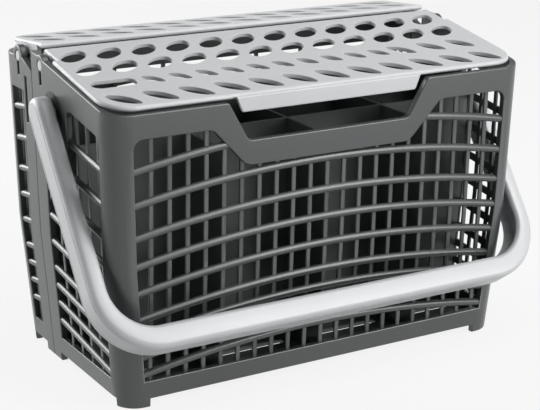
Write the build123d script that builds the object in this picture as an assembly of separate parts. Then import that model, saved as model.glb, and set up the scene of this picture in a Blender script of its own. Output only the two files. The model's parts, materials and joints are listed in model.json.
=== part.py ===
from build123d import *
import os
from math import acos, asin, cos, degrees, dist, radians, sin, sqrt, tan

# Driving dimensions, in millimetres. x runs along the basket, -y is the front and z is up from the feet.
# Both half baskets are drawn with their seam on y = 0, and the whole is centred over the origin at the end.
top_width = 226.0
front_depth = 82.7
rear_depth = 36.5
front_rim_height = 139.0
waist_height = 66.0
wall = 3.4
corner_radius = 11.0
foot_height = 4.0
corner_foot_overlap = 2.0
seam_foot_length = 8.6
rail_height = 9.0
floor_thickness = 2.2
seam_wall = 1.8
seam_wall_drop = 13.0
seam_chamfer = 0.7
cut_margin = 1.0

# Rounds are drawn in flat facets that leave the true curve by no more than about this
round_tolerance = 0.35
pin_sides = 12
hole_sides = 8
leaf_chords = 2

# Draft of the walls: how far each stands in at the foot and at the waist
side_insets = (7.5, 2.2)
front_insets = (5.0, 1.6)
rear_insets = (4.0, 1.2)

# Lattice of arched bars over flat uprights
arch_radius = 540.0
arch_levels = (0.877, 0.765, 0.655, 0.560, 0.4655, 0.371, 0.306, 0.240, 0.174)
bar_height = 3.8
bar_depth = 1.7
bar_recess = 0.3
bar_bite = 1.0
uprights_per_chord = 6
side_bar_slope = 0.135
rear_bar_rise = 5.0
rear_side_bar_rise = 4.0
upright_width = 2.2
upright_depth = 1.2
uprights_each_way = 10
upright_end_space = 1.1
rear_upright_step = 3
side_uprights = 5
side_upright_start = 0.8
side_upright_spaces = 5.33
post_width = 11.5
seam_post_width = 11.5
rim_band = 11.8
window_fillet = 5.0

# Finger notch in the front rim and the band that borders it
notch_top_half = 54.0
notch_lip_half = 43.5
notch_depth = 18.8
notch_band = 11.6
notch_band_step = 1.0
notch_band_flare = 8.0
notch_band_lap = 3.0

# Side plates that carry the handle, and the slots that let the seam posts flex
handle_pin_inset = 23.0
handle_pin_drop = 11.0
plate_margin = 6.0
plate_drop = 26.0
plate_seam_drop = 55.0
pivot_recess = 0.9
pivot_recess_margin = 2.0
flex_slot_width = 2.2
front_flex_slot = 16.0
rear_flex_slot = 22.0
rear_flex_slot_inset = 6.9

# Compartments
partition = 1.4
partition_drop = 22.0
uprights_per_cell = 6
floor_slot_width = 4.5
floor_slot_pitch = 13.0
floor_slot_margin = 6.0

# Lids
lid_thickness = 2.6
lid_edge_chamfer = 0.9
lid_slope = 9.76
lid_setback = 3.1
lid_side_setback = 1.7
lid_back_edge = 5.5
lid_corner = 14.0
lid_hinge_zone = 15.0
lid_columns = 12
lid_column_pitch = 17.8
lid_column_shift = -1.9
front_leaf_row = 9.4
small_leaf_row = 27.4
near_hole_row = 45.1
far_hole_row = 62.0
oval_hole = (16.6, 10.0)
oval_angle = 39.0
large_leaf = (19.6, 7.0)
middle_leaf = (17.6, 6.6)
middle_leaves = 3
small_leaf = (13.0, 5.2)
small_leaves = 10
small_leaf_pitch = 13.5
small_leaf_start = 19.3
long_slot = (22.0, 8.4)
long_slot_corner = 4.0
long_slot_start = 4.0
leaf_angle = -43.0
tab_half_width = 50.0
tab_taper = 3.0
tab_thickness = 2.0
tab_drop = 5.6
tab_gap = 0.4
rear_lid_rise = 8.7
rear_lid_slope = 5.0
rear_lid_overhang = 2.5
rear_lid_setback = 0.5
rear_lid_corner = 8.0
rear_lid_rows = (0.30, 0.70)
skirt = 2.0
skirt_setback = 0.6

# Hinges
front_pin_inset = 10.0
rear_pin_inset = 16.0
lid_pin_drop = 3.7
lid_pin_radius = 2.6
lug_radius = 4.2
lug_length = 3.0
ear_radius = 5.2
ear_headroom = 1.3
ear_root = 14.0
snap_slot = 9.0
rear_rim_drop = 2.7
handle_pin_radius = 3.5
handle_boss_radius = 4.7
handle_pin_stub = 2.0
pin_clearance = 0.06
pin_end_clearance = 0.1
boss_clearance = 0.4
lid_end_clearance = 0.6
rear_lid_end_clearance = 1.0

# Bail handle, a channel open towards the basket
handle_overhang = 8.8
handle_reach = 118.0
handle_breadth = 16.0
arm_depth = 8.2
grip_depth = 11.0
handle_skin = 2.4
elbow_radius = 30.0
handle_edge_chamfer = 2.3
handle_rest_clearance = 0.3

# Derived dimensions
half_width = top_width / 2
rail_top = foot_height + rail_height
floor_top = foot_height + floor_thickness
lid_front_edge = front_depth - lid_setback
lid_half_width = half_width - lid_side_setback
lid_rise = tan(radians(lid_slope))
lid_pin_z = front_rim_height + lid_rise * (lid_front_edge - front_pin_inset) - lid_pin_drop
top_height = lid_pin_z + ear_radius + ear_headroom
rear_rim_height = lid_pin_z - rear_rim_drop
rear_lid_bottom = lid_pin_z + rear_lid_rise - lid_thickness
rear_lid_back = rear_depth - rear_lid_setback
seam_wall_top = front_rim_height - seam_wall_drop
partition_top = front_rim_height - partition_drop
arch_heights = [level * front_rim_height for level in arch_levels]
upright_pitch = (half_width - post_width) / (uprights_each_way + upright_end_space)
cell_step = uprights_per_cell * upright_pitch
side_upright_pitch = (front_depth - seam_post_width - post_width) / side_upright_spaces
columns = [(i - (lid_columns - 1) / 2) * lid_column_pitch + lid_column_shift for i in range(lid_columns)]
plate_width = handle_pin_inset + handle_breadth / 2 + plate_margin
plate_foot = front_rim_height - plate_drop
plate_seam_foot = front_rim_height - plate_seam_drop
handle_pin_z = front_rim_height - handle_pin_drop
handle_half_width = half_width + handle_overhang
uprights_outer = bar_recess + bar_depth
uprights_inner = uprights_outer + upright_depth


def inset(insets, z):
    """How far a wall stands inside its top edge at height z: two straight drafts that meet at the waist."""
    foot, waist = insets
    if z < waist_height:
        return foot + (waist - foot) * z / waist_height
    return waist * (top_height - z) / (top_height - waist_height)


def levels(low, high):
    """Heights at which a wall's section changes direction between low and high."""
    if low < waist_height < high:
        return [low, waist_height, high]
    return [low, high]


def polygon(points):
    return make_face(Polyline(*points, close=True))


def rounded(points, corners):
    """Outline points with some corners, given as {index: radius}, rounded in flat facets."""
    outline = []
    for i, point in enumerate(points):
        if i not in corners:
            outline.append(point)
            continue
        corner = Vector(*point)
        before = (Vector(*points[i - 1]) - corner).normalized()
        after = (Vector(*points[(i + 1) % len(points)]) - corner).normalized()
        half = radians(before.get_angle(after)) / 2
        centre = corner + (before + after).normalized() * (corners[i] / sin(half))
        start = corner + before * (corners[i] / tan(half)) - centre
        turn = 180 - degrees(2 * half)
        facet = 2 * degrees(acos(1 - round_tolerance / corners[i]))
        count = max(1, round(turn / facet))
        step = turn / count if before.cross(after).Z < 0 else -turn / count
        spokes = [centre + start.rotate(Axis.Z, k * step) for k in range(count + 1)]
        outline += [(spoke.X, spoke.Y) for spoke in spokes]
    return [p for i, p in enumerate(outline) if dist(p, outline[i - 1]) > 1e-6]


def symmetric(left, corners={}):
    """Closed outline from the points of its left half, with the corners to round given as {index: radius}."""
    points = left + [(-x, z) for x, z in reversed(left)]
    pairs = {len(points) - 1 - i: radius for i, radius in corners.items()}
    return polygon(rounded(points, {**corners, **pairs}))


def along_x(outline, x0, x1):
    """Prism between two x positions whose outline is given as (y, z)."""
    return extrude(Plane((x0, 0, 0), x_dir=(0, 1, 0), z_dir=(1, 0, 0)) * outline, x1 - x0)


def along_y(outline, y0, y1):
    """Prism between two y positions whose outline is given as (x, z)."""
    return extrude(Plane((0, y1, 0), x_dir=(1, 0, 0), z_dir=(0, -1, 0)) * outline, y1 - y0)


def x_pin(radius, x0, x1, y, z):
    """Pin along x whose corners lie on its radius."""
    return along_x(Pos(y, z) * RegularPolygon(radius, pin_sides), x0, x1)


def x_bore(radius, x0, x1, y, z):
    """Bore along x whose flats lie on its radius, so that a pin turns freely in it."""
    return along_x(Pos(y, z) * RegularPolygon(radius, pin_sides, major_radius=False), x0, x1)


def block(x0, x1, y0, y1, z0, z1):
    return Pos((x0 + x1) / 2, (y0 + y1) / 2, (z0 + z1) / 2) * Box(x1 - x0, y1 - y0, z1 - z0)


def both_sides(*shapes):
    return [s for shape in shapes for s in (shape, mirror(shape, Plane.YZ))]


def envelope(depth, ends, low, high, shrink, seam, seam_cut):
    """Drafted solid of a half basket that faces -y: shrunk inwards, and ending on the plane y = seam."""
    sections = []
    for z in levels(low, high):
        w = half_width - inset(side_insets, z) - shrink
        d = depth - inset(ends, z) - shrink
        left = [(seam_cut - w, seam), (-w, seam - seam_cut)] if seam_cut else [(-w, seam)]
        plan = symmetric(left + [(-w, -d)], {len(left): corner_radius - shrink})
        sections.append(Pos(0, 0, z) * plan)
    return loft(sections, ruled=True)


def wall_section(reach, insets, outer, inner, low, high):
    """Section, as (distance from the middle, height), of the layer of a wall between two depths."""
    zs = levels(low, high)
    outside = [(reach - inset(insets, z) - outer, z) for z in zs]
    inside = [(reach - inset(insets, z) - inner, z) for z in reversed(zs)]
    return outside + inside


def end_layer(depth, ends, outer, inner, zs, xs):
    """Layer of an end wall between two depths, between two heights and two x positions."""
    section = wall_section(depth, ends, outer, inner, *zs)
    return along_x(polygon([(-d, z) for d, z in section]), *xs)


def side_layer(outer, inner, zs, ys):
    """Layer of the +x side wall between two depths, between two heights and two y positions."""
    return along_y(polygon(wall_section(half_width, side_insets, outer, inner, *zs)), *ys)


def window_half(z):
    """Half width of the window in an end wall at height z."""
    return half_width - inset(side_insets, z) - post_width


def arch_drop(x):
    return arch_radius - sqrt(arch_radius ** 2 - x ** 2)


def arch_bar(depth, ends, height):
    """One arched bar across an end wall, given its height at the middle."""
    reach = window_half(height - arch_drop(half_width)) + bar_bite
    chord = uprights_per_chord * upright_pitch
    count = int(reach / chord)
    xs = [-reach] + [i * chord for i in range(-count, count + 1)] + [reach]
    half = bar_height / 2
    upper = [(x, height - arch_drop(x) + half) for x in xs]
    strip = polygon(upper + [(x, z - bar_height) for x, z in reversed(upper)])
    zs = (height - arch_drop(reach) - bar_height, height + bar_height)
    layer = end_layer(depth, ends, bar_recess, uprights_outer, zs, (-reach, reach))
    return layer & along_y(strip, -depth - cut_margin, 0)


def side_bar(depth, ends, corner_height):
    """One bar along the +x side wall, climbing from the corner post to the seam post."""
    near = -seam_post_width + bar_bite
    far = -(depth - inset(ends, corner_height) - post_width + bar_bite)
    seam_height = corner_height + side_bar_slope * (near - far)
    half = bar_height / 2
    strip = polygon([(far, corner_height - half), (near, seam_height - half),
                     (near, seam_height + half), (far, corner_height + half)])
    zs = (corner_height - bar_height, seam_height + bar_height)
    layer = side_layer(bar_recess, uprights_outer, zs, (far, near))
    return layer & along_x(strip, 0, half_width + cut_margin)


def end_upright(depth, ends, x, top):
    zs = (rail_top - bar_bite, top)
    xs = (x - upright_width / 2, x + upright_width / 2)
    return end_layer(depth, ends, uprights_outer, uprights_inner, zs, xs)


def side_upright(y, top):
    zs = (rail_top - bar_bite, top)
    ys = (y - upright_width / 2, y + upright_width / 2)
    return side_layer(uprights_outer, uprights_inner, zs, ys)


def window_outline(left_top):
    """Window of an end wall: drafted posts below, and the left points of its rounded top above."""
    left_post = [(-window_half(z), z) for z in (rail_top, waist_height)]
    corners = {len(left_post) + i: window_fillet for i in range(len(left_top))}
    return symmetric(left_post + left_top, corners)


def through_end(outline, depth, ends):
    """Prism that cuts an outline through an end wall and nothing behind it."""
    return along_y(outline, -depth - cut_margin, -depth + ends[0] + 2 * wall)


def through_sides(outline):
    """Prisms that cut an outline through both side walls."""
    return both_sides(along_x(outline, half_width - side_insets[0] - 2 * wall, half_width + cut_margin))


def shell(depth, ends):
    """Closed walls, floor, seam wall and feet of a half basket that faces -y."""
    above = top_height + cut_margin
    body = envelope(depth, ends, 0, top_height, 0, 0, seam_chamfer)
    body -= envelope(depth, ends, floor_top, above, wall, -seam_wall, 0)
    body -= envelope(depth, ends, seam_wall_top, above, wall, cut_margin, 0)
    under = block(-half_width, half_width, -depth, 0, -cut_margin, foot_height)
    side = half_width - side_insets[0]
    corner = post_width + corner_foot_overlap
    low = -2 * cut_margin
    feet = both_sides(block(side - corner, half_width, -depth, corner - depth, low, foot_height),
                      block(side - wall, half_width, -seam_foot_length, cut_margin, low, foot_height))
    for foot in feet:
        under -= foot
    return body - under


def floor_slots(rows):
    """Drain slots through the floor of every compartment, given the limits of the rows along y."""
    edge = half_width - side_insets[0] - wall
    xs = [-edge, -cell_step, 0, cell_step, edge]
    half = floor_slot_width / 2
    slots = []
    for x0, x1 in zip(xs[:-1], xs[1:]):
        for y0, y1 in rows:
            count = int((y1 - y0 - floor_slot_width) / floor_slot_pitch)
            for i in range(count):
                y = (y0 + y1) / 2 + (i - (count - 1) / 2) * floor_slot_pitch
                slots.append(block(x0 + floor_slot_margin, x1 - floor_slot_margin, y - half, y + half,
                                   0, floor_top + cut_margin))
    return slots


def cross_walls(depth, ends):
    """Partitions from the seam wall to the uprights of the end wall."""
    zs = levels(floor_top - floor_thickness / 2, partition_top)
    reach = (uprights_outer + uprights_inner) / 2
    front = [(inset(ends, z) + reach - depth, z) for z in zs]
    outline = polygon([(-seam_wall / 2, zs[0])] + front + [(-seam_wall / 2, zs[-1])])
    return [along_x(outline, x - partition / 2, x + partition / 2) for x in (-cell_step, 0, cell_step)]


def long_wall(y):
    """Partition from side wall to side wall."""
    zs = levels(floor_top - floor_thickness / 2, partition_top)
    reach = (uprights_outer + uprights_inner) / 2
    outline = symmetric([(inset(side_insets, z) + reach - half_width, z) for z in zs])
    return along_y(outline, y - partition / 2, y + partition / 2)


def pin_ears(y):
    """Rounded ears of the side walls that carry a lid's pins."""
    low = lid_pin_z - ear_root
    high = lid_pin_z + ear_radius
    near = y + ear_radius
    far = y - ear_radius
    outline = rounded([(far, low), (near, low), (near, high), (far, high)], {2: ear_radius, 3: ear_radius})
    return both_sides(along_x(polygon(outline), half_width - wall, half_width))


def pin_holes(y):
    """Keyhole sockets of a lid's pins: a round hole with a snap slot below it."""
    end = half_width + cut_margin
    hole = x_bore(lid_pin_radius + pin_clearance, -end, end, y, lid_pin_z)
    half = flex_slot_width / 2
    slot = block(half_width - 2 * wall, end, y - half, y + half, lid_pin_z - snap_slot, lid_pin_z)
    return [hole] + both_sides(slot)


def above_front_rim():
    """Everything above the plane on which the front lid lies."""
    span = 2 * top_width
    low = front_rim_height - lid_rise * span
    high = front_rim_height + lid_rise * span
    outline = polygon([(-lid_front_edge - span, low), (-lid_front_edge + span, high),
                       (-lid_front_edge + span, high + span), (-lid_front_edge - span, high + span)])
    return along_x(outline, -span, span)


def front_basket():
    body = shell(front_depth, front_insets) - above_front_rim()
    window_top = front_rim_height - rim_band
    lip = front_rim_height - notch_depth
    band_low = lip - notch_band
    flare = (notch_top_half - notch_lip_half) / notch_depth
    band_half = notch_lip_half + notch_band_step
    band_wide = notch_top_half + notch_band_flare
    window = window_outline([(-window_half(window_top), window_top), (-band_wide, window_top),
                             (-band_half, band_low)])
    notch_high = front_rim_height + notch_depth
    notch_left = [(-notch_top_half - flare * notch_depth, notch_high), (-notch_lip_half, lip)]
    notch = symmetric(notch_left, {1: window_fillet})
    for outline in (window, notch):
        body -= through_end(outline, front_depth, front_insets)

    corner_y = post_width - front_depth
    slot_y = -seam_post_width - flex_slot_width
    slot_top = plate_seam_foot + front_flex_slot
    side_top = window_top + lid_rise * (-plate_width - corner_y)
    side = [(corner_y, window_top), (-plate_width, side_top), (-plate_width, plate_foot),
            (slot_y, plate_seam_foot), (slot_y, slot_top), (-seam_post_width, slot_top),
            (-seam_post_width, rail_top), (corner_y + front_insets[0], rail_top),
            (corner_y + front_insets[1], waist_height)]
    for cut in through_sides(polygon(rounded(side, {0: window_fillet, 1: window_fillet}))):
        body -= cut

    def upright_top(x):
        if abs(x) > band_wide:
            return window_top + bar_bite
        climb = max(0, abs(x) - band_half) * (window_top - band_low) / (band_wide - band_half)
        return band_low + climb + notch_band_lap

    xs = [i * upright_pitch for i in range(-uprights_each_way, uprights_each_way + 1)]
    ys = [-seam_post_width - (i + side_upright_start) * side_upright_pitch for i in range(side_uprights)]
    middle = ys[side_uprights // 2]
    corner_drop = arch_drop(half_width - post_width)
    between = symmetric([(bar_bite - band_wide, window_top), (bar_bite - band_half, band_low)])
    top_bar = arch_bar(front_depth, front_insets, arch_heights[0])
    top_bar -= along_y(between, -front_depth - cut_margin, 0)
    bars = list(top_bar.solids())
    bars += [arch_bar(front_depth, front_insets, h) for h in arch_heights[1:]]
    bars += [end_upright(front_depth, front_insets, x, upright_top(x)) for x in xs]
    bars += both_sides(*[side_bar(front_depth, front_insets, h - corner_drop) for h in arch_heights])
    bars += both_sides(*[side_upright(y, plate_foot if y > -plate_width else side_top) for y in ys])
    bars += cross_walls(front_depth, front_insets)
    body = body.fuse(*bars, long_wall(middle), *pin_ears(-front_pin_inset))

    rows = [(front_insets[0] + wall - front_depth, middle), (middle, -seam_wall)]
    end = half_width + cut_margin
    plate_face = half_width - inset(side_insets, handle_pin_z)
    recess_radius = handle_breadth / 2 + pivot_recess_margin
    recess = x_bore(recess_radius, plate_face - pivot_recess, end, -handle_pin_inset, handle_pin_z)
    pivot = x_bore(handle_pin_radius + pin_clearance, -end, end, -handle_pin_inset, handle_pin_z)
    for cut in floor_slots(rows) + pin_holes(-front_pin_inset) + both_sides(recess) + [pivot]:
        body -= cut
    return body


def rear_basket():
    """Drawn facing -y like the front half, then turned to face the back."""
    body = shell(rear_depth, rear_insets)
    body -= block(-top_width, top_width, -top_width, top_width, rear_rim_height, 2 * top_height)
    window_top = rear_rim_height - rim_band
    window = window_outline([(-window_half(window_top), window_top)])
    body -= through_end(window, rear_depth, rear_insets)
    corner_y = post_width - rear_depth
    side = polygon([(corner_y, window_top), (-seam_post_width, window_top), (-seam_post_width, rail_top),
                    (corner_y + rear_insets[0], rail_top), (corner_y + rear_insets[1], waist_height)])
    slot_near = -rear_flex_slot_inset
    slot_far = slot_near - flex_slot_width
    slot_top = window_top + rim_band / 2
    slot_low = slot_top - rear_flex_slot
    slot = polygon([(slot_far, slot_low), (slot_near, slot_low), (slot_near, slot_top), (slot_far, slot_top)])
    for cut in through_sides(side) + through_sides(slot):
        body -= cut

    half_count = uprights_each_way // rear_upright_step
    xs = [rear_upright_step * i * upright_pitch for i in range(-half_count, half_count + 1)]
    middle = (corner_y + rear_insets[1] - seam_post_width) / 2
    corner_drop = arch_drop(half_width - post_width) - rear_side_bar_rise
    heights = [h + rear_bar_rise for h in arch_heights]
    bars = [arch_bar(rear_depth, rear_insets, h) for h in heights]
    bars += [end_upright(rear_depth, rear_insets, x, window_top + bar_bite) for x in xs]
    bars += both_sides(*[side_bar(rear_depth, rear_insets, h - corner_drop) for h in heights])
    bars += both_sides(side_upright(middle, window_top + bar_bite))
    bars += cross_walls(rear_depth, rear_insets)
    body = body.fuse(*bars, *pin_ears(-rear_pin_inset))
    for cut in floor_slots([(rear_insets[0] + wall - rear_depth, -seam_wall)]) + pin_holes(-rear_pin_inset):
        body -= cut
    return mirror(body, Plane.XZ)


def leaf(length, width):
    """Slanted slot pointed at both ends, between two arcs."""
    rise = width / 2
    radius = (length ** 2 / 4 + rise ** 2) / (2 * rise)
    sweep = asin(length / 2 / radius)
    turns = [sweep * (2 * k / leaf_chords - 1) for k in range(leaf_chords)]
    arc = [(radius * sin(t), radius * (cos(t) - 1) + rise) for t in turns]
    return Rot(0, 0, leaf_angle) * polygon(arc + [(-x, -y) for x, y in arc])


def oval(length, width):
    """Slanted oval hole."""
    turns = [radians(360 * k / hole_sides) for k in range(hole_sides)]
    return Rot(0, 0, oval_angle) * polygon([(length / 2 * cos(t), width / 2 * sin(t)) for t in turns])


def lid_plate(plane, outline, slots):
    """Plate standing on a plane, with its upper edge broken and slots through it."""
    plate = extrude(plane * outline, lid_thickness)
    upper = plane.offset(lid_thickness)
    edges = [e for e in plate.edges() if abs(upper.to_local_coords(e.center()).Z) < 0.01]
    plate = chamfer(edges, lid_edge_chamfer)
    for slot in slots:
        plate -= extrude(plane.offset(-cut_margin) * slot, lid_thickness + 2 * cut_margin)
    return plate


def lid_pins(y, plate_z, inner):
    """Lugs under both ends of a lid, with the hinge pins that stand out of them."""
    root = inner - lug_length
    pin_end = half_width - inset(side_insets, lid_pin_z) - pin_end_clearance
    low = lid_pin_z - lug_radius
    near = y + lug_radius
    far = y - lug_radius
    corners = [(far, low), (near, low), (near, plate_z), (far, plate_z)]
    outline = rounded(corners, {0: lug_radius, 1: lug_radius})
    lug = along_x(polygon(outline), root, inner)
    return both_sides(lug + x_pin(lid_pin_radius, root, pin_end, y, lid_pin_z))


def front_lid():
    """Sloping plate with oval holes behind, leaf slots in front and a finger tab in the notch."""
    slope = radians(lid_slope)
    length = (lid_front_edge - lid_back_edge) / cos(slope)
    plane = Plane((0, -lid_front_edge, front_rim_height), x_dir=(1, 0, 0), z_dir=(0, -sin(slope), cos(slope)))
    inner = half_width - wall - lid_end_clearance
    waist = length - lid_hinge_zone
    left = [(-lid_half_width, 0), (-lid_half_width, waist), (-inner, waist), (-inner, length)]
    outline = symmetric(left, {0: lid_corner})
    first_small = columns[0] + long_slot_start + small_leaf_start
    first_middle = first_small + small_leaves * small_leaf_pitch
    slots = [Pos(x, row) * oval(*oval_hole) for x in columns for row in (near_hole_row, far_hole_row)]
    slots += [Pos(x, front_leaf_row) * leaf(*large_leaf) for x in columns]
    slots += [Pos(first_middle + i * lid_column_pitch, small_leaf_row) * leaf(*middle_leaf)
              for i in range(middle_leaves)]
    slots += [Pos(first_small + i * small_leaf_pitch, small_leaf_row) * leaf(*small_leaf)
              for i in range(small_leaves)]
    ends = long_slot[0] / 2
    side = long_slot[1] / 2
    corners = [(-ends, -side), (ends, -side), (ends, side), (-ends, side)]
    long_outline = polygon(rounded(corners, {i: long_slot_corner for i in range(len(corners))}))
    slots.append(Pos(columns[0] + long_slot_start, small_leaf_row) * long_outline)
    plate = lid_plate(plane, outline, slots)

    tab_top = front_rim_height + lid_thickness - lid_edge_chamfer
    tab_low = front_rim_height - tab_drop
    tab_back = -lid_front_edge - tab_gap
    face = symmetric([(-tab_half_width, tab_top), (tab_taper - tab_half_width, tab_low)])
    tab = along_y(face, tab_back - tab_thickness, tab_back)
    root = tab_half_width - tab_taper
    bridge = block(-root, root, tab_back - tab_thickness / 2, lid_thickness - lid_front_edge,
                   tab_top - lid_edge_chamfer, tab_top)
    plate_z = lid_pin_z + lid_pin_drop + lid_thickness / 2
    return plate.fuse(tab, bridge, *lid_pins(-front_pin_inset, plate_z, inner))


def rear_lid():
    """Plate with leaf slots, standing on a skirt at the back and hung on lugs at its ends."""
    slope = radians(rear_lid_slope)
    length = (rear_lid_back + rear_lid_overhang) / cos(slope)
    normal = (0, sin(slope), cos(slope))
    plane = Plane((0, -rear_lid_overhang, rear_lid_bottom), x_dir=(1, 0, 0), z_dir=normal)
    w = half_width - wall - rear_lid_end_clearance
    outline = symmetric([(-w, 0), (-w, length)], {1: rear_lid_corner})
    slots = [Pos(x, row * length) * leaf(*large_leaf) for x in columns for row in rear_lid_rows]
    plate = lid_plate(plane, outline, slots)

    def inside(y):
        """Height in the middle of the plate's thickness."""
        return rear_lid_bottom + lid_thickness / 2 - tan(slope) * (y + rear_lid_overhang)

    back = rear_lid_back - skirt_setback
    half = w - rear_lid_corner
    end = back - rear_lid_corner
    low = rear_rim_height
    front = back - skirt
    rear_skirt = polygon([(front, low), (back, low), (back, inside(back)), (front, inside(front))])
    end_skirt = polygon([(skirt, lid_pin_z), (end, lid_pin_z), (end, inside(end)), (skirt, inside(skirt))])
    skirts = [along_x(rear_skirt, -half, half)] + both_sides(along_x(end_skirt, w - skirt, w))
    return plate.fuse(*skirts, *lid_pins(rear_pin_inset, inside(rear_pin_inset), w))


def handle_angle():
    """Angle below level at which the lowered grip meets the front wall."""
    inner = handle_reach - grip_depth
    half = handle_breadth / 2
    angle = radians(50)
    for _ in range(40):
        z = handle_pin_z - inner * sin(angle) - half * cos(angle)
        reach = front_depth - inset(front_insets, z) - handle_pin_inset
        angle = radians(90) - asin((reach + handle_rest_clearance + half * sin(angle)) / inner)
    return degrees(angle)


def bail_block(skin):
    """Filled bail drawn in by its skin, flat on z = 0 with its pivots on the x axis."""
    half = handle_breadth / 2 - skin
    w = handle_half_width - skin
    reach = handle_reach - skin
    plan = symmetric([(-w, -half), (-w, reach)], {1: elbow_radius - skin})
    edge_view = rounded([(-half, -half), (reach, -half), (reach, half), (-half, half)], {0: half, 3: half})
    return extrude(plan, half, both=True) & along_x(polygon(edge_view), -w, w)


def handle():
    outer = bail_block(0)
    seams = outer.edges().filter_by(Axis.Z)
    crown = [e for e in outer.edges().filter_by(Axis.X) if e.center().Y < handle_breadth]
    rims = [e for e in outer.edges() if e not in seams and e not in crown]
    bail = chamfer(rims, handle_edge_chamfer) - bail_block(handle_skin)
    w = handle_half_width - arm_depth
    reach = handle_reach - grip_depth
    opening = symmetric([(-w, -handle_breadth), (-w, reach)], {1: elbow_radius - grip_depth})
    bail -= extrude(opening, handle_breadth, both=True)
    web = handle_half_width - handle_skin / 2
    boss = x_pin(handle_boss_radius, half_width + boss_clearance, web, 0, 0)
    pin = x_pin(handle_pin_radius, half_width - wall - handle_pin_stub, web, 0, 0)
    bail = bail.fuse(*both_sides(boss, pin))
    angle = radians(handle_angle())
    pivot = Plane((0, -handle_pin_inset, handle_pin_z), x_dir=(1, 0, 0), z_dir=(0, sin(angle), -cos(angle)))
    return pivot * bail


nodes = {
    "front_basket": front_basket(),
    "rear_basket": rear_basket(),
    "front_lid": front_lid(),
    "rear_lid": rear_lid(),
    "handle": handle(),
}

boxes = [shape.bounding_box() for shape in nodes.values()]
seam_y = -(min(b.min.Y for b in boxes) + max(b.max.Y for b in boxes)) / 2
print("seam y", round(seam_y, 4))
print("front lid pin y, z", round(seam_y - front_pin_inset, 4), round(lid_pin_z, 4))
print("rear lid pin y, z", round(seam_y + rear_pin_inset, 4), round(lid_pin_z, 4))
print("handle pin y, z", round(seam_y - handle_pin_inset, 4), round(handle_pin_z, 4))
print("handle angle below level", round(handle_angle(), 3))

os.makedirs("parts", exist_ok=True)
for name, shape in nodes.items():
    export_step(Pos(0, seam_y, 0) * shape, "parts/" + name + ".step")
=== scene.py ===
import json
from math import asin, atan2, cos, degrees, dist, pi, radians, sin, sqrt, tan

import bmesh
import bpy
from mathutils import Matrix, Vector
from mathutils.geometry import delaunay_2d_cdt


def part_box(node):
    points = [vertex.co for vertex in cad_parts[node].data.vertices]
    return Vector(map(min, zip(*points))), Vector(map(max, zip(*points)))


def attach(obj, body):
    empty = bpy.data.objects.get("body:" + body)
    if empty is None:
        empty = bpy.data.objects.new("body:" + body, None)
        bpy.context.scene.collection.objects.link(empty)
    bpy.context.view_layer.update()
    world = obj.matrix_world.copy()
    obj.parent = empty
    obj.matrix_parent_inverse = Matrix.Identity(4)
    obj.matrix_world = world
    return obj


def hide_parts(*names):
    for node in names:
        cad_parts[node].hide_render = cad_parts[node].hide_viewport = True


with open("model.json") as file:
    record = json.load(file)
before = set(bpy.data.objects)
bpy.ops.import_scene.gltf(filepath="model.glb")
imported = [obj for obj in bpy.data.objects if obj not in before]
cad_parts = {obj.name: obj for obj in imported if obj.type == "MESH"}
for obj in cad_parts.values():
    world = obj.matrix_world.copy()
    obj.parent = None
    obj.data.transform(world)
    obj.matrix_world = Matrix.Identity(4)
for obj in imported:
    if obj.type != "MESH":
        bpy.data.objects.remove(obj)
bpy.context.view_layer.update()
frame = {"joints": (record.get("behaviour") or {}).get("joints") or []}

# Sizes in millimetres. The pieces are drawn with the seam of the two half baskets on y = 0 and the front
# at -y, and set into the frame at the end.
MM = 0.001
seam_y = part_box("rear_basket")[0].y / MM
pins = {j["name"]: Vector(j["pos_m"]) / MM - Vector((0, seam_y, 0)) for j in frame["joints"]}
lid_pin_z = pins["front_lid_hinge"].z
front_pin_y = pins["front_lid_hinge"].y
rear_pin_y = pins["rear_lid_hinge"].y
handle_pin = pins["handle_hinge"]

# Body
half_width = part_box("front_basket")[1].x / MM
front_depth = 82.7
rear_depth = 36.5
front_rim_height = 139.0
rear_rim_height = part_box("rear_lid")[0].z / MM
top_height = 153.77
waist_height = 66.0
wall = 3.4
corner_radius = 11.0
foot_height = 4.0
rail_top = 13.0
floor_thickness = 2.2
seam_wall = 1.8
seam_wall_top = 126.0
seam_gap = 0.05
corner_foot = 13.5
seam_foot = 8.6
side_insets = (7.5, 2.2)
front_insets = (5.0, 1.6)
rear_insets = (4.0, 1.2)
edge_round = 0.55
corner_steps = 8
rim_corner_steps = 6

# Lattice
arch_radius = 540.0
arch_levels = (121.9, 106.3, 91.0, 77.8, 64.7, 51.6, 42.5, 33.4, 24.2)
bar_height = 3.8
bar_depth = 1.7
bar_recess = 0.3
bar_bite = 1.0
bar_back = 0.3
bar_facets = 10
bar_steps = 40
side_bar_steps = 4
side_bar_slope = 0.135
rear_bar_rise = 5.0
rear_side_bar_rise = 4.0
upright_width = 2.2
upright_depth = 1.2
upright_pitch = 9.144
upright_edge = 0.3
uprights_each_way = 10
rear_upright_step = 3
side_uprights = 5
side_upright_pitch = 11.2
first_side_upright = 20.46
post_width = 11.5
rim_band = 11.8
window_fillet = 5.0
band_fillet = 8.0

# Finger notch, side plates and slots
notch_top_half = 54.0
notch_lip_half = 43.5
notch_depth = 18.8
notch_fillet = 4.0
notch_crest = 1.6
band_half = 44.5
band_wide = 62.0
band_drop = 30.4
band_bite = 3.0
plate_width = 37.0
plate_foot = 113.0
plate_seam_foot = 84.0
flex_slot_width = 2.2
front_slot_top = 100.0
rear_slot_near = 6.9
rear_slot = (116.7, 138.7)
ear_radius = 5.2
snap_slot = 9.0
bore_clearance = 0.06
pivot_recess = 0.9
pivot_recess_radius = 10.0

# Compartments
partition = 1.4
partition_top = 117.0
cell_step = 6 * upright_pitch
floor_slot_width = 4.5
floor_slot_pitch = 13.0
floor_slot_margin = 6.0
floor_slot_corner = 1.5
floor_edge = 0.275

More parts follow.
